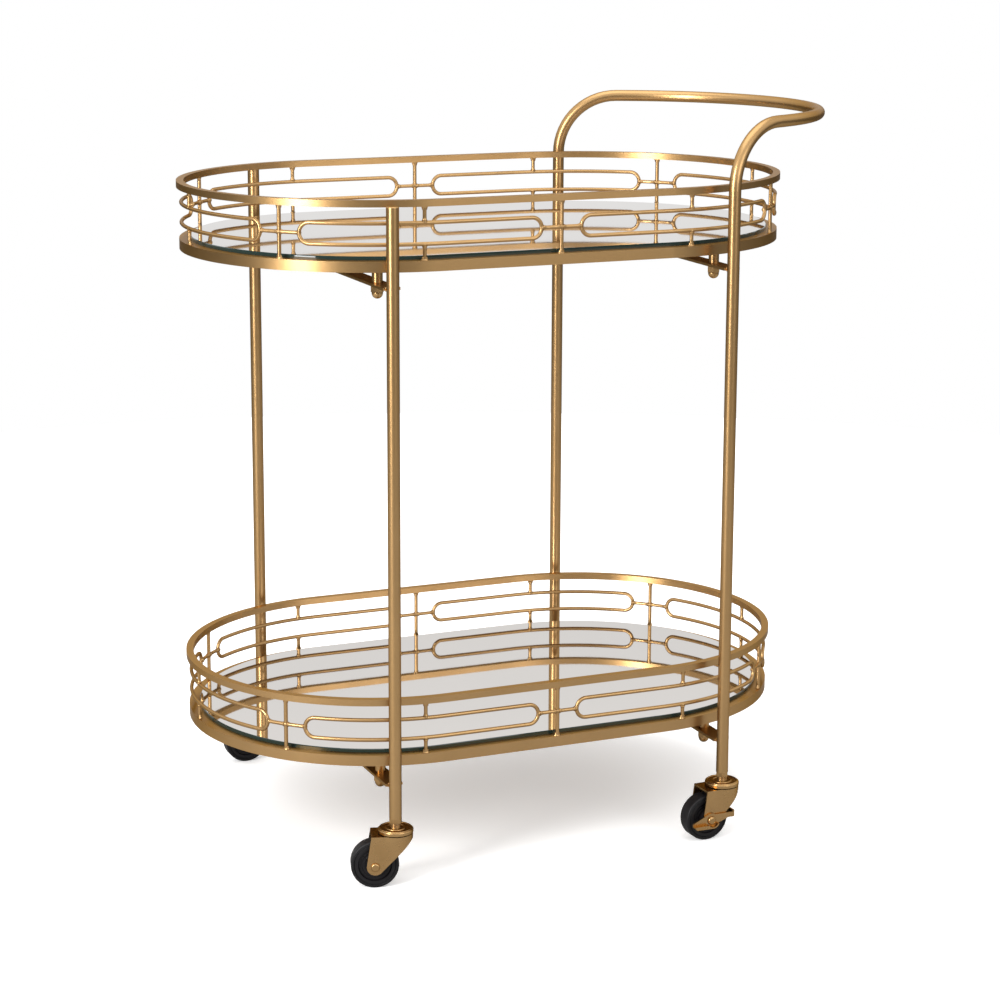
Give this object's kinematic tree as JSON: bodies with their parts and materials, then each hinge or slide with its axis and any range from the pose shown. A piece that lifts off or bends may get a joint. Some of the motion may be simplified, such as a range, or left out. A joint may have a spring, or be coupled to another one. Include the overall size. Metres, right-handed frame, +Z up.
{
  "type": "bar cart",
  "caption": "Oval bar cart on swivel casters, with mirror-topped trays in wire galleries, slim tube legs and a looped push handle at one end.",
  "frame": {"origin": "on the floor, under the middle of the cart's overall length and between its front and back legs", "axes": "+Z up, +X towards the push handle, +Y from the front to the back long side"},
  "size_m": [0.7828, 0.521, 0.84],
  "materials": {
    "gold_paint": "satin metallic gold paint",
    "gold_fastener": "satin gold plating",
    "zinc_steel": "zinc plated",
    "mirror_glass": "polished silvered glass",
    "wheel_hub": "satin moulded nylon",
    "wheel_tyre": "satin hard rubber",
    "axle_bush": "plain moulded acetal"
  },
  "bodies": {
    "frame": {"leg_front_left": "gold_paint", "leg_back_left": "gold_paint", "handle_frame": "gold_paint", "leg_top_caps": "gold_paint", "leg_inserts": "zinc_steel", "crossbar_upper_left": "gold_paint", "crossbar_upper_right": "gold_paint", "crossbar_lower_left": "gold_paint", "crossbar_lower_right": "gold_paint", "shelf_studs": "gold_fastener", "shelf_spacers": "gold_fastener", "acorn_nuts": "gold_fastener", "caster_stems": "zinc_steel", "caster_jam_nuts": "gold_fastener", "swivel_plates": "gold_fastener", "upper_top_rail": "gold_paint", "upper_base_ring": "gold_paint", "upper_posts": "gold_paint", "upper_links": "gold_paint", "upper_connectors": "gold_paint", "upper_stubs": "gold_paint", "upper_panel": "gold_paint", "upper_straps": "gold_paint", "upper_mirror": "mirror_glass", "lower_top_rail": "gold_paint", "lower_base_ring": "gold_paint", "lower_posts": "gold_paint", "lower_links": "gold_paint", "lower_connectors": "gold_paint", "lower_stubs": "gold_paint", "lower_panel": "gold_paint", "lower_straps": "gold_paint", "lower_mirror": "mirror_glass"},
    "caster_front_left": {"fork_front_left": "gold_fastener", "axle_front_left": "gold_fastener", "balls_front_left": "zinc_steel"},
    "wheel_front_left": {"wheel_hub_front_left": "wheel_hub", "tyre_front_left": "wheel_tyre", "bush_front_left": "axle_bush"},
    "caster_front_right": {"fork_front_right": "gold_fastener", "axle_front_right": "gold_fastener", "balls_front_right": "zinc_steel"},
    "wheel_front_right": {"wheel_hub_front_right": "wheel_hub", "tyre_front_right": "wheel_tyre", "bush_front_right": "axle_bush"},
    "brake_front_right": {"brake_lever_front_right": "gold_fastener"},
    "caster_back_left": {"fork_back_left": "gold_fastener", "axle_back_left": "gold_fastener", "balls_back_left": "zinc_steel"},
    "wheel_back_left": {"wheel_hub_back_left": "wheel_hub", "tyre_back_left": "wheel_tyre", "bush_back_left": "axle_bush"},
    "caster_back_right": {"fork_back_right": "gold_fastener", "axle_back_right": "gold_fastener", "balls_back_right": "zinc_steel"},
    "wheel_back_right": {"wheel_hub_back_right": "wheel_hub", "tyre_back_right": "wheel_tyre", "bush_back_right": "axle_bush"},
    "brake_back_right": {"brake_lever_back_right": "gold_fastener"}
  },
  "joints": [
    {"name": "swivel_front_left", "type": "hinge", "parent": "frame", "child": "caster_front_left", "pos_m": [-0.2334, -0.238, 0.062], "axis": [0, 0, 1], "continuous": true},
    {"name": "wheel_spin_front_left", "type": "hinge", "parent": "caster_front_left", "child": "wheel_front_left", "pos_m": [-0.25566, -0.23077, 0.027], "axis": [0.309, 0.9511, 0], "continuous": true},
    {"name": "swivel_front_right", "type": "hinge", "parent": "frame", "child": "caster_front_right", "pos_m": [0.1766, -0.238, 0.062], "axis": [0, 0, 1], "continuous": true},
    {"name": "wheel_spin_front_right", "type": "hinge", "parent": "caster_front_right", "child": "wheel_front_right", "pos_m": [0.15321, -0.23882, 0.027], "axis": [-0.0349, 0.9994, 0], "continuous": true},
    {"name": "brake_front_right_press", "type": "hinge", "parent": "caster_front_right", "child": "brake_front_right", "pos_m": [0.15321, -0.23882, 0.027], "axis": [-0.0349, 0.9994, 0], "range_deg": [0, 25]},
    {"name": "swivel_back_left", "type": "hinge", "parent": "frame", "child": "caster_back_left", "pos_m": [-0.2334, 0.238, 0.062], "axis": [0, 0, 1], "continuous": true},
    {"name": "wheel_spin_back_left", "type": "hinge", "parent": "caster_back_left", "child": "wheel_back_left", "pos_m": [-0.2568, 0.238, 0.027], "axis": [0, 1, 0], "continuous": true},
    {"name": "swivel_back_right", "type": "hinge", "parent": "frame", "child": "caster_back_right", "pos_m": [0.1766, 0.238, 0.062], "axis": [0, 0, 1], "continuous": true},
    {"name": "wheel_spin_back_right", "type": "hinge", "parent": "caster_back_right", "child": "wheel_back_right", "pos_m": [0.15355, 0.23394, 0.027], "axis": [-0.1736, 0.9848, 0], "continuous": true},
    {"name": "brake_back_right_press", "type": "hinge", "parent": "caster_back_right", "child": "brake_back_right", "pos_m": [0.15355, 0.23394, 0.027], "axis": [-0.1736, 0.9848, 0], "range_deg": [0, 25]}
  ]
}
